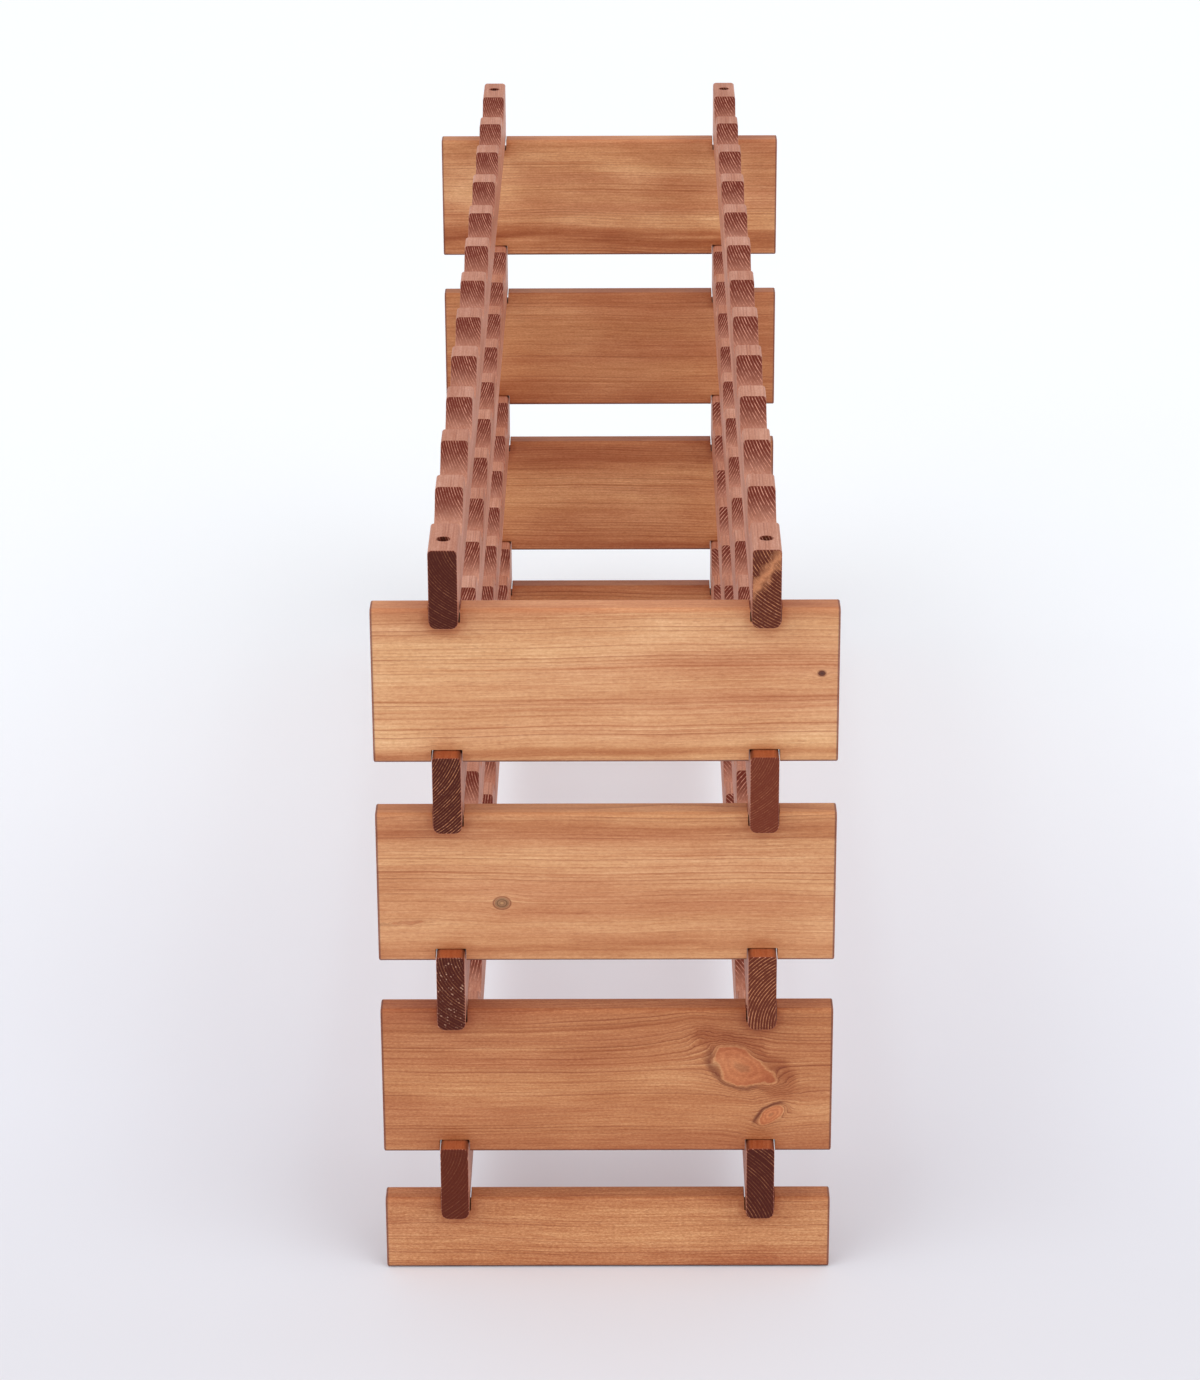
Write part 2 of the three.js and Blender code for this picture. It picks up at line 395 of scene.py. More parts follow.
class Graph:
    """A material's node tree, with one short method for each kind of step that the finishes use."""

    def __init__(self, name):
        self.material = bpy.data.materials.new(name)
        self.material.use_nodes = True
        self.tree = self.material.node_tree
        self.tree.nodes.clear()

    def node(self, kind, **settings):
        made = self.tree.nodes.new(kind)
        for key, value in settings.items():
            setattr(made, key, value)
        return made

    def put(self, value, socket):
        if isinstance(value, bpy.types.NodeSocket):
            self.tree.links.new(value, socket)
        else:
            socket.default_value = value

    def math(self, operation, *values):
        made = self.node("ShaderNodeMath", operation=operation)
        for value, socket in zip(values, made.inputs):
            self.put(value, socket)
        return made.outputs[0]

    def add(self, a, b):
        return self.math("ADD", a, b)

    def sub(self, a, b):
        return self.math("SUBTRACT", a, b)

    def mul(self, a, b):
        return self.math("MULTIPLY", a, b)

    def scaled(self, value, factor, offset):
        return self.math("MULTIPLY_ADD", value, factor, offset)

    def larger(self, a, b):
        return self.math("MAXIMUM", a, b)

    def unsigned(self, value):
        return self.math("ABSOLUTE", value)

    def length(self, a, b):
        return self.math("SQRT", self.add(self.mul(a, a), self.mul(b, b)))

    def smooth(self, value, start, end, low=0.0, high=1.0):
        """low before start, high after end, and a smooth step between them."""
        made = self.node("ShaderNodeMapRange", interpolation_type="SMOOTHSTEP")
        for v, key in ((value, 0), (start, 1), (end, 2), (low, 3), (high, 4)):
            self.put(v, made.inputs[key])
        return made.outputs[0]

    def line(self, value, at, half_width):
        """1 where value equals at, falling smoothly to 0 at half_width from it."""
        return self.smooth(self.unsigned(self.sub(value, at)), half_width, 0.0)

    def vector(self, x, y, z):
        made = self.node("ShaderNodeCombineXYZ")
        for v, socket in zip((x, y, z), made.inputs):
            self.put(v, socket)
        return made.outputs[0]

    def parts(self, vector):
        made = self.node("ShaderNodeSeparateXYZ")
        self.put(vector, made.inputs[0])
        return tuple(made.outputs)

    def place(self):
        """The point's place in the frame. Every object's origin is the frame's."""
        return self.parts(self.node("ShaderNodeTexCoord").outputs["Object"])

    def noise(self, place, seed, detail=2, roughness=0.5):
        """Noise from about 0 to 1. place is (value, frequency) three times."""
        scaled = [self.scaled(v, f, seed * k) for (v, f), k in zip(place, (1.7, 3.1, 2.3))]
        made = self.node("ShaderNodeTexNoise")
        made.inputs["Scale"].default_value = 1.0
        made.inputs["Detail"].default_value = detail
        made.inputs["Roughness"].default_value = roughness
        self.put(self.vector(*scaled), made.inputs["Vector"])
        return made.outputs[0]

    def random(self, value, seed):
        made = self.node("ShaderNodeTexWhiteNoise", noise_dimensions="1D")
        self.put(self.add(value, seed), made.inputs["W"])
        return made.outputs["Value"]

    def curve(self, value, *stops):
        """A value drawn through (place, height) stops, in order."""
        made = self.node("ShaderNodeValToRGB")
        elements = made.color_ramp.elements
        elements.remove(elements[1])
        for i, (at, height) in enumerate(stops):
            element = elements.new(at) if i else elements[0]
            element.position = at
            element.color = (height, height, height, 1)
        self.put(value, made.inputs[0])
        return made.outputs[0]

    def mix(self, share, a, b, how="MIX"):
        made = self.node("ShaderNodeMix", data_type="RGBA", blend_type=how)
        self.put(share, made.inputs[0])
        self.put(a, made.inputs[6])
        self.put(b, made.inputs[7])
        return made.outputs[2]

    def shade(self, colour, factor):
        """colour made lighter or darker by a factor."""
        return self.mix(1.0, colour, self.vector(factor, factor, factor), "MULTIPLY")

    def stained(self, colour, depth):
        """colour under a depth of stain, which takes more blue than red."""
        through = self.vector(*(self.math("POWER", share, depth) for share in STAIN))
        return self.mix(1.0, colour, through, "MULTIPLY")

    def surface(self, colour, roughness, height, relief, specular=0.5, coat=0.0, glow=None):
        """The finished material. height is from 0 to 1, and relief is how deep that is."""
        shader = self.node("ShaderNodeBsdfPrincipled")
        self.put(colour, shader.inputs["Base Color"])
        self.put(roughness, shader.inputs["Roughness"])
        shader.inputs["IOR"].default_value = SURFACE_IOR
        shader.inputs["Specular IOR Level"].default_value = specular
        shader.inputs["Coat Weight"].default_value = coat
        shader.inputs["Coat Roughness"].default_value = COAT_ROUGHNESS
        if glow is not None:
            self.put(glow, shader.inputs["Emission Color"])
            shader.inputs["Emission Strength"].default_value = 1.0
        bump = self.node("ShaderNodeBump")
        bump.inputs["Strength"].default_value = 1.0
        bump.inputs["Distance"].default_value = relief
        self.put(height, bump.inputs["Height"])
        self.put(bump.outputs[0], shader.inputs["Normal"])
        out = self.node("ShaderNodeOutputMaterial")
        self.put(shader.outputs[0], out.inputs[0])
        return self.material


# ---- Wood ----

# Early wood is light or deep, late wood closes each year's ring, and some rings open pale. A sawn end
# has a colour and lines of late wood in it, and so has a wall, the slanted end grain of a scallop.
# rarity is how few of the rings are strong.
BOARD_LOOK = {
    "light": linear(231, 176, 125),
    "deep": linear(212, 147, 103),
    "late": linear(172, 104, 66),
    "pale": linear(248, 204, 152),
    "end": linear(150, 92, 66),
    "end_line": linear(196, 134, 98),
    "wall": linear(150, 92, 66),
    "wall_line": linear(196, 134, 98),
    "rarity": 1.9,
    "roughness": 0.46,
    "specular": 0.3,
    "coat": 0.06,
}
RAIL_LOOK = {
    "light": linear(204, 145, 120),
    "deep": linear(186, 124, 100),
    "late": linear(150, 84, 62),
    "pale": linear(222, 166, 140),
    "end": linear(77, 24, 11),
    "end_line": linear(204, 136, 94),
    "wall": linear(106, 37, 21),
    "wall_line": linear(236, 170, 144),
    "rarity": 1.2,
    "roughness": 0.5,
    "specular": 0.24,
    "coat": 0.0,
}
WOOD_RELIEF = 0.16 * MM

# The timber's noises: frequencies along, across and up the piece, the step from the piece's seed,
# detail and roughness.
NOISES = {
    "roll": ((5, 12, 9), 0, 1, 0.5),  # the grain's long waves
    "ripple": ((22, 40, 60), 3, 2, 0.5),  # and its short ones
    "ragged": ((110, 0, 110), 0, 4, 0.5),  # a knot's outline
    "broad": ((2.5, 10, 34), 23, 2, 0.5),  # lighter and deeper timber
    "blotch": ((10, 30, 26), 29, 3, 0.5),  # patches of stain
    "streak": ((9, 300, 420), 31, 3, 0.6),  # long fine lines of stain
    "fibre": ((60, 1500, 1500), 33, 2, 0.7),  # the finest lines along the grain
    "grit": ((460, 700, 1000), 35, 2, 0.7),  # fine uneven stain
    "dash": ((130, 800, 800), 37, 1, 0.5),  # short dark flecks
    "fleece": ((34, 500, 820), 39, 3, 0.7),  # soft lines of stain, shorter than the streaks
    "pores": ((200, 1500, 1500), 41, 2, 0.5),  # in end grain
    "speck": ((60, 620, 620), 43, 1, 0.5),  # a sawn end's pale flecks
    "torn": ((60, 260, 260), 45, 3, 0.5),  # the torn band over a sawn end
    "worn": ((60, 330, 330), 47, 3, 0.65),  # breaks in end grain's lines
}
RIPPLE_HEIGHT = 0.8 * MM
TORN_HEIGHT = 4.5 * MM
RING_WANDER = 0.8  # in rings
RAIL_WAVE = 2.0  # a rail's wave, as in PLAIN
DOWEL_SEED = 3.3
KNOT_SEED_STEP = 7
KNOT_SHADE = 7 * MM  # about how far from a knot's middle its darker side is fully dark

UPPER_EDGE_PAINTED_SHADE = linear(214, 142, 94)  # painted shade: a darker, redder tint on a board's upward faces and rounded upper edge
EDGE_SHADE = linear(102, 60, 68)  # the dark line round a board's ends, pooled stain and painted shade, and under it, painted shade
NOTCH_PAINTED_SHADE = linear(96, 52, 34)  # painted shade inside a notch
TAB_PAINTED_SHADE = linear(156, 74, 28)  # painted shade and warm bounce light on a rail's upper edge, where a board stands on it
TAB_SIDE_PAINTED_SHADE = linear(84, 38, 24)  # and darker painted shade along both sides of it
FLECK = linear(244, 190, 158)
WALL_LINES = (0.45, 0.5)  # how light a wall's late wood is: at least, and by how much more at most

KNOT_FLESH = linear(242, 168, 116)
KNOT_RING = linear(206, 120, 76)
KNOT_EYE = linear(184, 136, 98)
KNOT_DARK = linear(132, 70, 44)

# Where the edges are darker, mostly painted shade. Each pair is where that starts to show and where it is
# full.
ARRIS = (1.8 * MM, 0.7 * MM)  # from a board's end
UNDERSIDE = (2.2 * MM, 1.1 * MM)  # from a board's lower edge
NOTCH_SHADE_REACH = 11.5 * MM  # from the middle of a notch
NOTCH_SHADE_DEPTH = (10.5 * MM, 8 * MM)  # from the edge that a notch is cut in
TAB_DEPTH = (2.4 * MM, 1.2 * MM)  # from a rail's upper edge
TAB_LENGTH = (33 * MM, 30 * MM)  # from a rail's end
TAB_MARGIN = (5.5 * MM, 8.8 * MM)  # from the middle of a rail's thickness
RAIL_SHADE_SIZE = (15 * MM, 12 * MM)  # round a rail's end: half its width and half its height
RAIL_SHADE_DROP = 7 * MM  # from a board's edge to the middle of the painted shade

# What a piece's timber is like, where BOARDS or RAILS doesn't say otherwise. Heights are in mm, from
# the middle of the piece. Each piece also has a seed, its pith's place across and up, and spacing,
# the rings' width in mm.
PLAIN = {
    "slope": 0.0,  # of the grain along the piece
    "wave": 5.0,  # how far the grain wanders up and down, in mm
    "hard": 0.9,  # how much of the late wood's colour shows
    "nap": 0.9,  # how strong the fine fleecy texture is
    "mottle": 1.3,  # how strong the patches are
    "stain": 0.0,  # how much darker and redder the whole piece is, all over
    "seams": (),  # bands of deeper stain: (height, half width, depth), with depth below zero for paler
    "knots": (),
    "lines": (0.5, 0.5),  # how light a sawn end's late wood is, as in WALL_LINES
    "end": None,  # a sawn end's colour, if it has one of its own
    "band": None,  # torn pale band over a sawn end: (angle in degrees, place, half width)
    "flecks": 0.0,  # how strong a sawn end's pale flecks are
}

# What a knot is like, where its entry doesn't say otherwise. Each also has its place and size in mm.
KNOT = {
    "tilt": 0,  # in degrees
    "ragged": 0.6,  # how uneven its outline is, finely
    "corners": 0.0,  # and broadly
    "pull": 0.9,  # how strong each ring close to it is, at least
    "share": 0.75,  # how much of its own colour shows
    "flesh": KNOT_FLESH,
    "ring": KNOT_RING,
    "eye": 0.3,  # the eye's radius, as a share of the knot's
    "eye_share": 0.6,
    "eye_colour": KNOT_EYE,
    "rim": 0.7,  # how strong its pale rim is
    "side": (-0.35, -1.0),  # which way its darker side faces, along and up
    "seam": (0.1, 0.85),  # how dark its outline is: all round, and by how much more on that side
    "seam_width": 0.22,
    "bruise": 0.0,  # how dark the wood beyond its lighter side is
}


class Timber(Graph):
    """Solid timber: year rings about a pith that runs along the grain, so faces, edges and ends agree.

    low and high are the piece's box, and grain is X for a rail or Y for a board.
    """

    def __init__(self, name, low, high, grain, look, character):
        super().__init__(name)
        self.look = look
        self.character = {**PLAIN, **character}
        self.seed = self.character["seed"]
        self.is_board = grain == "Y"
        half = (high - low) / 2
        self.half_length = half.y if self.is_board else half.x
        self.half_height = half.z
        x, y, self.raw = (self.sub(v, m) for v, m in zip(self.place(), (low + high) / 2))
        self.along, self.across = (y, x) if self.is_board else (x, y)
        self.normal = self.parts(self.node("ShaderNodeNewGeometry").outputs["Normal"])
        facing = self.unsigned(self.normal[1 if self.is_board else 0])
        self.open_end = self.smooth(facing, 0.1, 0.8)
        self.sawn = self.smooth(facing, 0.88, 0.96)
        self.from_end = self.sub(self.half_length, self.unsigned(self.along))
        self.bend_grain()
        self.grow_rings()
        self.blotch = self.texture("blotch", self.raw)
        self.streak = self.texture("streak", self.bent)
        self.fibre = self.texture("fibre", self.bent)

    def texture(self, name, height, further=0):
        """One of NOISES. height is raw, or bent where it follows the grain. further moves its seed on."""
        frequencies, step, detail, roughness = NOISES[name]
        place = tuple(zip((self.along, self.across, height), frequencies))
        return self.noise(place, self.seed + further + step, detail, roughness)

    def wander(self, noise, height):
        """A noise as a height up and down from zero."""
        return self.mul(self.sub(noise, 0.5), 2 * height)

    def bend_grain(self):
        """Sets bent, the height that the grain at a point comes from: it wanders, and rounds each knot."""
        roll = self.wander(self.texture("roll", self.raw), self.character["wave"] * MM)
        ripple = self.wander(self.texture("ripple", self.raw), RIPPLE_HEIGHT)
        bent = self.add(self.add(self.raw, roll), ripple)
        self.bent = self.add(bent, self.mul(self.along, self.character["slope"]))
        self.knots = []
        for i, entry in enumerate(self.character["knots"]):
            self.knots.append(self.grow_knot({**KNOT, **entry}, KNOT_SEED_STEP * i))

    def grow_knot(self, knot, step):
        """Bends the grain round a knot. Returns its entry with two masks.

        reach is 1 on its outline, and shady is 1 on its darker side.
        """
        level = knot["at"][1] * MM
        u = self.sub(self.along, knot["at"][0] * MM)
        w = self.sub(self.raw, level)
        tilt = math.radians(knot["tilt"])
        turned_u = self.add(self.mul(u, math.cos(tilt)), self.mul(w, math.sin(tilt)))
        turned_w = self.sub(self.mul(w, math.cos(tilt)), self.mul(u, math.sin(tilt)))
        wide, high = (1 / (across / 2 * MM) for across in knot["size"])
        reach = self.length(self.mul(turned_u, wide), self.mul(turned_w, high))
        ragged = self.texture("ragged", self.raw, step)
        reach = self.add(reach, self.mul(self.sub(ragged, 0.5), knot["ragged"]))
        place = ((turned_u, 48), (self.across, 0), (turned_w, 70))
        corners = self.noise(place, self.seed + step + 2, detail=0)
        reach = self.add(reach, self.mul(self.sub(corners, 0.5), knot["corners"]))
        clear = self.larger(self.mul(reach, reach), 1.0)
        squeeze = self.sub(1.0, self.math("DIVIDE", 0.97, clear))
        self.bent = self.add(level, self.mul(self.sub(self.bent, level), squeeze))
        toward = self.add(self.mul(turned_u, knot["side"][0]), self.mul(turned_w, knot["side"][1]))
        return {**knot, "reach": reach, "shady": self.smooth(toward, 0.0, KNOT_SHADE)}

    def grow_rings(self):
        """Year rings: light early wood that darkens slowly and ends in a hard late-wood line."""
        pith_across, pith_up = self.character["pith"]
        radius = self.length(self.sub(self.across, pith_across * MM), self.sub(self.bent, pith_up * MM))
        years = self.noise(((radius, 60), (self.along, 0.6), (self.across, 0)), self.seed + 11)
        turn = self.mul(radius, 1 / (self.character["spacing"] * MM))
        turn = self.add(turn, self.wander(years, RING_WANDER))
        phase = self.math("FRACT", turn)
        year = self.math("FLOOR", turn)
        rise = ((0.0, 0.3), (0.06, 0.0), (0.5, 0.06), (0.78, 0.5), (0.92, 1.0), (1.0, 0.3))
        self.late = self.curve(phase, *rise)
        self.pale = self.curve(phase, (0.0, 0.2), (0.07, 1.0), (0.18, 0.25), (0.32, 0.0))
        self.chance = self.random(year, self.seed)
        self.fade = self.noise(((self.along, 9), (self.across, 20), (turn, 0.35)), self.seed + 17)
        strong = self.math("POWER", self.chance, self.look["rarity"])
        self.strong = self.mul(strong, self.smooth(self.fade, 0.22, 0.55))
        paleness = self.math("POWER", self.random(year, self.seed + 5.5), 2.0)
        self.paleness = self.mul(paleness, self.smooth(self.fade, 0.68, 0.38))
        for knot in self.knots:
            near = self.smooth(knot["reach"], 3.0, 1.1, 0.0, knot["pull"])
            self.strong = self.larger(self.strong, near)
            self.paleness = self.larger(self.paleness, near)

    def bare_colour(self):
        """The timber's faces before the stain."""
        look = self.look
        broad = self.texture("broad", self.bent)
        dash = self.texture("dash", self.bent)
        hard = self.mul(self.mul(self.late, self.strong), self.character["hard"])
        soft = self.mul(self.mul(self.pale, self.paleness), 0.75)
        colour = self.mix(self.smooth(broad, 0.3, 0.7), look["light"], look["deep"])
        colour = self.mix(hard, colour, look["late"])
        colour = self.mix(soft, colour, look["pale"])
        return self.mix(self.smooth(dash, 0.62, 0.74, 0.0, 0.25), colour, look["late"])

    def with_knot(self, colour, knot):
        """A reddish body with rings and an eye, a pale ragged rim and a dark seam on the shady side."""
        reach, shady = knot["reach"], knot["shady"]
        rings = self.scaled(self.math("SINE", self.mul(reach, 17)), 0.35, 0.35)
        flesh = self.mix(rings, knot["flesh"], knot["ring"])
        eye = self.mul(self.smooth(reach, knot["eye"], 0.05), knot["eye_share"])
        flesh = self.mix(eye, flesh, knot["eye_colour"])
        body = self.mul(self.smooth(reach, 1.04, 0.92), knot["share"])
        colour = self.mix(body, colour, flesh)
        rim = self.mul(self.line(reach, 0.98, 0.08), self.scaled(shady, -0.3, 0.8))
        rim = self.mul(rim, self.smooth(self.fade, 0.35, 0.55, 0.3, 1.0))
        colour = self.mix(self.mul(rim, knot["rim"]), colour, self.look["pale"])
        all_round, on_side = knot["seam"]
        width = knot["seam_width"]
        seam = self.line(reach, 0.98 + 0.8 * width, width)
        seam = self.mul(seam, self.scaled(shady, on_side, all_round))
        return self.mix(seam, colour, KNOT_DARK)

    def with_board_edges(self, colour):
        """A board's edges and notches: a painted tint on its upward faces, a dark line round its ends that
        is pooled stain and painted shade, and painted shade under it and inside each notch.
        """
        # Painted shade: upward faces tinted darker and redder.
        upward = self.smooth(self.normal[2], 0.35, 0.9)
        colour = self.mix(self.mul(upward, 0.3), colour, UPPER_EDGE_PAINTED_SHADE)
        # A dark line round the ends, pooled stain and painted shade, and painted shade along the board's
        # lower edge.
        arris = self.smooth(self.from_end, *ARRIS)
        under = self.smooth(self.add(self.raw, self.half_height), *UNDERSIDE)
        colour = self.mix(self.mul(self.larger(arris, under), 0.8), colour, EDGE_SHADE)
        # Painted shade inside each notch, on its walls and floor.
        beside = self.line(self.unsigned(self.along), RAIL_Y, NOTCH_SHADE_REACH)
        within = self.smooth(self.unsigned(self.raw), *(self.half_height - d for d in NOTCH_SHADE_DEPTH))
        turned = self.smooth(self.unsigned(self.normal[0]), 0.9, 0.6)
        notch_shade = self.mul(self.mul(self.smooth(beside, 0.0, 0.2), within), turned)
        return self.mix(self.mul(notch_shade, 0.8), colour, NOTCH_PAINTED_SHADE)

    def with_capped_tabs(self, colour):
        """Painted shade and warm bounce light on the two stretches of a rail's upper edge that boards stand
        on.
        """
        top = self.smooth(self.raw, *(self.half_height - d for d in TAB_DEPTH))
        tab = self.mul(top, self.smooth(self.from_end, *TAB_LENGTH))
        colour = self.mix(self.mul(tab, 0.85), colour, TAB_PAINTED_SHADE)
        # Darker painted shade along both sides of each stretch.
        tab_side_shade = self.smooth(self.unsigned(self.across), *TAB_MARGIN)
        return self.mix(self.mul(tab, self.mul(tab_side_shade, 0.75)), colour, TAB_SIDE_PAINTED_SHADE)

    def end_lines(self):
        """How light the late wood stands out in end grain, with breaks, and with a sawn end's torn band."""
        wall_least, wall_more = WALL_LINES
        sawn_least, sawn_more = self.character["lines"]
        least = self.scaled(self.sawn, sawn_least - wall_least, wall_least)
        more = self.scaled(self.sawn, sawn_more - wall_more, wall_more)
        lines = self.mul(self.smooth(self.late, 0.25, 0.85), self.scaled(self.chance, more, least))
        worn = self.texture("worn", self.raw)
        lines = self.mul(lines, self.smooth(worn, 0.38, 0.62, 0.3, 1.25))
        if self.character["band"] is None:
            return lines
        return self.larger(lines, self.torn_band())

    def torn_band(self):
        """A pale band torn over the sawn end that is towards +X."""
        angle, at, half_width = self.character["band"]
        turn = math.radians(angle)
        swath = self.add(self.mul(self.across, math.cos(turn)), self.mul(self.raw, math.sin(turn)))
        torn = self.texture("torn", self.raw)
        swath = self.add(swath, self.wander(torn, TORN_HEIGHT))
        lit = self.mul(self.line(swath, at * MM, half_width * MM), self.sawn)
        lit = self.mul(lit, self.smooth(self.along, 0.0, 0.1))
        return self.mul(lit, self.scaled(torn, 0.6, 0.6))

    def with_end_grain(self, colour):
        """End grain drinks the stain: it is dark, and the hard late wood stands out lighter."""
        look = self.look
        dark = self.mix(self.sawn, look["wall"], self.character["end"] or look["end"])
        light = self.mix(self.sawn, look["wall_line"], look["end_line"])
        end = self.mix(self.end_lines(), dark, light)
        if self.character["flecks"]:
            speck = self.texture("speck", self.raw)
            speck = self.mul(self.smooth(speck, 0.64, 0.72), self.sawn)
            speck = self.mul(speck, self.smooth(self.late, 0.1, 0.6, 0.12, 1.0))
            end = self.mix(self.mul(speck, self.character["flecks"]), end, FLECK)
        pores = self.texture("pores", self.raw)
        end = self.stained(end, self.mul(self.sub(pores, 0.5), 1.2))
        return self.mix(self.open_end, colour, end)

    def stain_and_shade_depth(self):
        """How deep the stain lies on the faces, with painted shade added on a board round each rail's end
        and towards its upper and lower edges.
        """
        nap = self.character["nap"]
        grit = self.texture("grit", self.raw)
        fleece = self.texture("fleece", self.bent)
        depth = self.scaled(self.sub(self.streak, 0.5), 0.85, self.character["stain"])
        depth = self.add(depth, self.mul(self.sub(fleece, 0.5), nap))
        depth = self.add(depth, self.mul(self.sub(self.fibre, 0.5), 0.6))
        depth = self.add(depth, self.mul(self.sub(grit, 0.5), 1.3 * nap))
        depth = self.add(depth, self.mul(self.sub(self.blotch, 0.5), self.character["mottle"]))
        for at, half_width, deeper in self.character["seams"]:
            lane = self.line(self.bent, at * MM, half_width * MM)
            patchy = self.smooth(self.fade, 0.25, 0.65, 0.15, 1.3)
            depth = self.add(depth, self.mul(lane, self.mul(patchy, deeper)))
        for knot in self.knots:
            bruise = self.mul(self.line(knot["reach"], 1.45, 0.65), self.sub(1.0, knot["shady"]))
            depth = self.add(depth, self.mul(self.mul(bruise, self.blotch), knot["bruise"]))
        if self.is_board:
            # Painted shade round each rail's end.
            depth = self.add(depth, self.painted_rail_shade())
            # Painted shade: darker towards the board's upper and lower edges, near the rails.
            shade_band = (self.half_height * 0.5, self.half_height)
            depth = self.add(depth, self.smooth(self.unsigned(self.raw), *shade_band, -0.02, 0.22))
        return self.mul(depth, self.scaled(self.open_end, -0.7, 1.0))

    def painted_rail_shade(self):
        """Painted contact shade on a board round each rail's end, made patchy."""
        half_width, half_height = RAIL_SHADE_SIZE
        beside = self.sub(self.unsigned(self.along), RAIL_Y)
        below = self.sub(self.unsigned(self.raw), self.half_height - RAIL_SHADE_DROP)
        beside = self.mul(beside, 1 / half_width)
        below = self.mul(below, 1 / half_height)
        near = self.smooth(self.length(beside, below), 1.15, 0.55)
        near = self.mul(near, self.smooth(self.raw, 0.0, 1 * MM, 0.3, 1.0))
        return self.mul(near, self.smooth(self.blotch, 0.25, 0.75, 0.2, 0.85))

    def finish(self, capped=False):
        """The material. capped is for a rail that boards stand on."""
        colour = self.bare_colour()
        for knot in self.knots:
            colour = self.with_knot(colour, knot)
        if self.is_board:
            colour = self.with_board_edges(colour)
        if capped:
            colour = self.with_capped_tabs(colour)
        colour = self.stained(self.with_end_grain(colour), self.stain_and_shade_depth())
        rough = self.scaled(self.sub(self.streak, 0.5), 0.3, self.look["roughness"])
        rough = self.add(rough, self.mul(self.open_end, 0.2))
        relief = self.add(self.mul(self.fibre, 0.3), self.mul(self.streak, 0.3))
        relief = self.add(relief, self.mul(self.late, 0.3))
        return self.surface(colour, rough, relief, WOOD_RELIEF, self.look["specular"], self.look["coat"])


def beech(name, seed):
    """Pale plain beech with its short dark flecks, for the dowels."""
    g = Graph(name)
    x, y, z = g.place()
    fibre = g.noise(((x, 1400), (y, 1400), (z, 60)), seed, detail=2)
    fleck = g.noise(((x, 900), (y, 900), (z, 260)), seed + 9, detail=1)
    colour = g.mix(g.smooth(fibre, 0.3, 0.7), linear(222, 190, 148), linear(200, 162, 118))
    colour = g.mix(g.smooth(fleck, 0.6, 0.72, 0.0, 0.6), colour, linear(160, 112, 76))
    return g.surface(colour, g.scaled(fibre, 0.15, 0.6), fibre, FINE_RELIEF)


# ---- The pieces ----

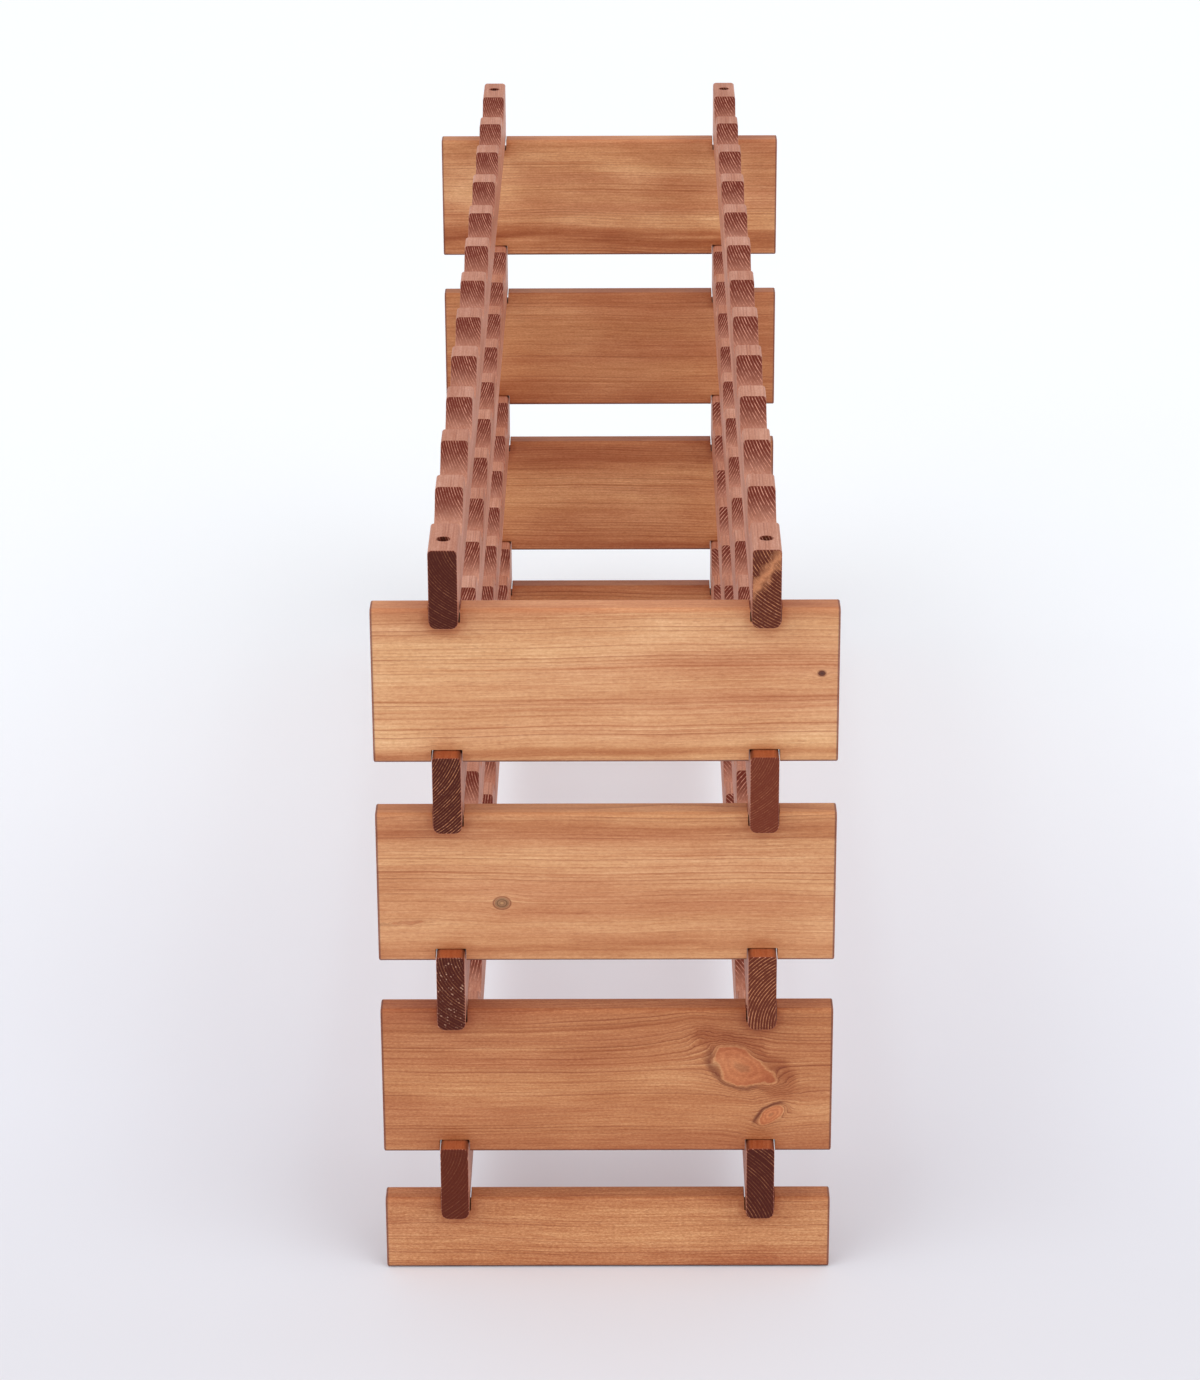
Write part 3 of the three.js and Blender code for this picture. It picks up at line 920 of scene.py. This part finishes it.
# What sets each board's and rail's timber apart, in the words of PLAIN and KNOT.
BOARDS = {
    "base_board_right": {
        "seed": 4.3, "pith": (-30, -78), "spacing": 1.7, "slope": 0.01, "stain": 0.68, "mottle": 1.2,
        "nap": 1.6, "seams": ((-9.5, 2.2, 0.15), (13, 1.2, 0.3)),
    },
    "end_board_right_1": {
        "seed": 9.1, "pith": (-28, 92), "spacing": 2.2, "slope": -0.012, "wave": 6.0, "stain": 0.93,
        "hard": 1.0, "nap": 1.25,
        "knots": (
            {"at": (86, 10), "size": (43, 22), "tilt": -29, "eye": 0.35, "corners": 0.7, "bruise": 1.2,
             "flesh": linear(236, 158, 108), "rim": 1.0, "share": 0.66, "side": (-0.2, -1.0),
             "seam": (0.1, 0.55), "seam_width": 0.23},
            {"at": (106, -24.5), "size": (19, 9.5), "tilt": 38, "eye": 0.2, "corners": 0.5,
             "side": (0.0, 1.6), "seam_width": 0.4},
        ),
        "seams": ((38, 2.2, 0.4), (23, 1.2, 0.55), (17.5, 0.9, 0.5), (13.5, 0.8, 0.5), (8, 1.0, 0.25),
                  (-12, 3.0, 0.25)),
    },
    "end_board_right_2": {
        "seed": 15.7, "pith": (-30, -88), "spacing": 2.3, "slope": 0.006, "stain": 0.2, "nap": 0.75,
        "knots": (
            {"at": (-66, -10.5), "size": (9.5, 7.5), "ragged": 0.15, "rim": 0.3, "pull": 0.3,
             "flesh": linear(128, 90, 60), "ring": KNOT_EYE, "share": 1.0, "eye": 0.45, "eye_share": 0.9,
             "eye_colour": linear(196, 148, 102), "seam": (0.75, 0.1)},
            {"at": (-127, -24), "size": (27, 3.6), "tilt": 4, "ragged": 2.2, "rim": 0.2, "pull": 0.5,
             "flesh": linear(156, 90, 58), "share": 0.5, "eye_colour": KNOT_DARK, "seam": (0.1, 0.3)},
        ),
        "seams": ((38, 11.0, 0.5), (9.5, 0.8, 0.4), (-41, 9.0, 0.45), (22, 0.8, 0.3), (-17, 0.7, 0.3)),
    },
    "end_board_right_3": {
        "seed": 21.2, "pith": (-26, -98), "spacing": 2.4, "slope": -0.006, "stain": 0.05, "nap": 0.75,
        "knots": (
            {"at": (134, 8.5), "size": (5.0, 4.0), "ragged": 0.1, "rim": 0.0, "eye": 1.0, "pull": 0.2,
             "flesh": linear(96, 52, 38), "ring": KNOT_DARK, "share": 1.0, "eye_share": 1.0,
             "eye_colour": linear(88, 48, 36), "seam": (0.5, 0.2)},
        ),
        "seams": ((41, 7.0, -0.3), (28, 10.0, -0.12), (11.5, 0.9, 0.5), (1.5, 1.4, 0.3), (-9, 1.5, 0.45),
                  (-16, 0.9, 0.5), (-20, 0.8, 0.4), (-27, 1.0, 0.45), (-36, 6.0, -0.3), (-45, 4.5, 0.7)),
    },
    "base_board_left": {"seed": 27.9, "pith": (-40, 52), "spacing": 2.2, "stain": 0.9},
    "end_board_left_1": {
        "seed": 33.4, "pith": (36, -80), "spacing": 2.2, "slope": 0.01, "stain": 0.64, "mottle": 1.7,
        "seams": ((32, 20.0, 0.55), (10.5, 1.6, 0.6), (-45, 4.0, 0.4)),
    },
    "end_board_left_2": {
        "seed": 39.8, "pith": (-34, 86), "spacing": 2.3, "slope": -0.006, "stain": 0.8, "mottle": 1.5,
        "seams": ((36, 14.0, -0.4), (-30, 1.2, 0.4)),
    },
    "end_board_left_3": {
        "seed": 46.1, "pith": (36, -88), "spacing": 2.2, "slope": 0.008, "stain": 0.28, "mottle": 2.2,
        "seams": ((7, 1.4, 0.6), (-36, 15.0, 1.0), (30, 1.2, 0.3)),
    },
}

RAILS = {
    "bottle_rail_front_4": {"seed": 51.3, "pith": (30, 34), "spacing": 1.6, "lines": (0.07, 0.3)},
    "bottle_rail_back_4": {"seed": 57.7, "pith": (34, 40), "spacing": 1.9, "lines": (0.6, 0.4),
                           "band": (143, 6.2, 6.2), "flecks": 0.35, "end": linear(94, 38, 22)},
    "bottle_rail_front_3": {"seed": 63.2, "pith": (-60, 50), "spacing": 1.6, "lines": (0.25, 0.75),
                            "flecks": 0.12},
    "bottle_rail_back_3": {"seed": 69.5, "pith": (-34, 36), "spacing": 1.5, "lines": (0.1, 0.3),
                           "end": linear(114, 48, 28)},
    "bottle_rail_front_2": {"seed": 75.1, "pith": (32, 30), "spacing": 1.8, "lines": (0.02, 0.5),
                            "flecks": 0.6},
    "bottle_rail_back_2": {"seed": 81.6, "pith": (36, -24), "spacing": 1.9, "lines": (0.75, 0.35),
                           "end": linear(100, 41, 23)},
    "bottle_rail_front_1": {"seed": 87.4, "pith": (-40, 30), "spacing": 2.0, "lines": (0.02, 0.15),
                            "end": linear(94, 34, 15)},
    "bottle_rail_back_1": {"seed": 93.9, "pith": (-60, -50), "spacing": 2.0, "lines": (0.0, 0.5)},
}


def install(piece, node, material):
    """Stands a piece for its CAD node, with its finish."""
    piece.data.materials.clear()
    piece.data.materials.append(material)
    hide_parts(node)
    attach(piece, "root")


for node, character in BOARDS.items():
    low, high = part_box(node)
    pine = Timber(node, low, high, "Y", BOARD_LOOK, character)
    install(board_piece(node), node, pine.finish())

for node, character in RAILS.items():
    low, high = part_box(node)
    pine = Timber(node, low, high, "X", RAIL_LOOK, {"wave": RAIL_WAVE, **character})
    install(rail_piece(node), node, pine.finish(capped=not node.endswith("_4")))

dowel_material = beech("dowel_beech", DOWEL_SEED)
for node in sorted(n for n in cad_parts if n.startswith("dowel")):
    install(dowel_piece(node), node, dowel_material)


# ---- Studio ----

FLOOR_REACH = 14.0
FLOOR_SIDES = 96
# Painted light: the floor is whiter towards the rack's left end.
FLOOR_NEAR = linear(230, 231, 237)
FLOOR_FAR = linear(246, 249, 251)
# Painted light: the floor's glow, under and beside the rack.
FLOOR_GLOW = (0.86, 1.0, 1.16, 1.0)
FLOOR_SEED = 2.0
LAMP_COLOUR = (1.0, 0.985, 0.965)
SKY_COLOUR = (0.95, 0.955, 1.0, 1.0)
SKY_POWER = 0.58

CAMERA_PLACE = (2.941, 0.0116, 1.3863)
CAMERA_TURN = 90.36  # about the vertical, in degrees
CAMERA_TILT = 22.358  # below the horizon
CAMERA_ROLL = -0.282
CAMERA_LENS = 108.06
CAMERA_SENSOR = 36.0
CAMERA_REACH = 100.0


def floor():
    """A wide pale floor."""
    build = bmesh.new()
    bmesh.ops.create_circle(build, cap_ends=True, cap_tris=True, radius=FLOOR_REACH, segments=FLOOR_SIDES)
    mesh = bpy.data.meshes.new("studio_floor")
    build.to_mesh(mesh)
    build.free()
    made = bpy.data.objects.new("studio_floor", mesh)
    bpy.context.scene.collection.objects.link(made)
    mesh.materials.append(floor_paint())
    made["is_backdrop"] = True


def floor_paint():
    """Matt, faintly cloudy, and whiter towards the rack's left end, a painted brightening. It glows a
    little from the rack on, painted light that lifts the shade round the rack.
    """
    g = Graph("studio_floor")
    x, y, z = g.place()
    # Painted light: whiter towards the rack's left end.
    away = g.smooth(x, 0.55, -1.0)
    # Painted light: a glow that lifts the shade under and beside the rack.
    rising = g.smooth(x, 0.68, 0.3, 0.0, 0.1)
    falling = g.smooth(x, -0.2, -1.1, 0.1, 0.04)
    cloudy = g.noise(((x, 1.3), (y, 1.3), (z, 1.0)), FLOOR_SEED)
    colour = g.shade(g.mix(away, FLOOR_NEAR, FLOOR_FAR), g.scaled(cloudy, 0.03, 0.985))
    glow = g.shade(FLOOR_GLOW, g.math("MINIMUM", rising, falling))
    return g.surface(colour, 0.8, cloudy, FINE_RELIEF, specular=0.1, glow=glow)


def soft_sun(name, azimuth, elevation, width, power):
    """Even soft light from one side. azimuth is from +X towards +Y, and width how wide the source looks."""
    data = bpy.data.lights.new(name, "SUN")
    data.angle = math.radians(width)
    data.energy = power
    data.color = LAMP_COLOUR
    light = bpy.data.objects.new(name, data)
    turn, lift = math.radians(azimuth), math.radians(elevation)
    source = Vector((math.cos(turn) * math.cos(lift), math.sin(turn) * math.cos(lift), math.sin(lift)))
    light.rotation_mode = "QUATERNION"
    light.rotation_quaternion = source.to_track_quat("Z", "Y")
    bpy.context.scene.collection.objects.link(light)


def sky():
    """Even light from all round."""
    world = bpy.data.worlds.new("studio")
    world.use_nodes = True
    background = world.node_tree.nodes["Background"]
    background.inputs["Color"].default_value = SKY_COLOUR
    background.inputs["Strength"].default_value = SKY_POWER
    bpy.context.scene.world = world


def aim_camera():
    """The camera, beyond the rack's right end and above it, looking along it."""
    data = bpy.data.cameras.new("camera")
    data.sensor_width = CAMERA_SENSOR
    data.lens = CAMERA_LENS
    data.clip_end = CAMERA_REACH
    camera = bpy.data.objects.new("camera", data)
    bpy.context.scene.collection.objects.link(camera)
    camera.matrix_world = (
        Matrix.Translation(CAMERA_PLACE)
        @ Matrix.Rotation(math.radians(CAMERA_TURN), 4, "Z")
        @ Matrix.Rotation(math.radians(90 - CAMERA_TILT), 4, "X")
        @ Matrix.Rotation(math.radians(CAMERA_ROLL), 4, "Z")
    )
    bpy.context.scene.camera = camera


floor()
soft_sun("ceiling", 10, 76, 80, 0.36)
soft_sun("left", -62, 38, 60, 0.98)
soft_sun("right", 58, 38, 60, 0.94)
sky()
aim_camera()
bpy.context.scene.view_settings.view_transform = "Standard"

bpy.context.view_layer.update()
low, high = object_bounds()
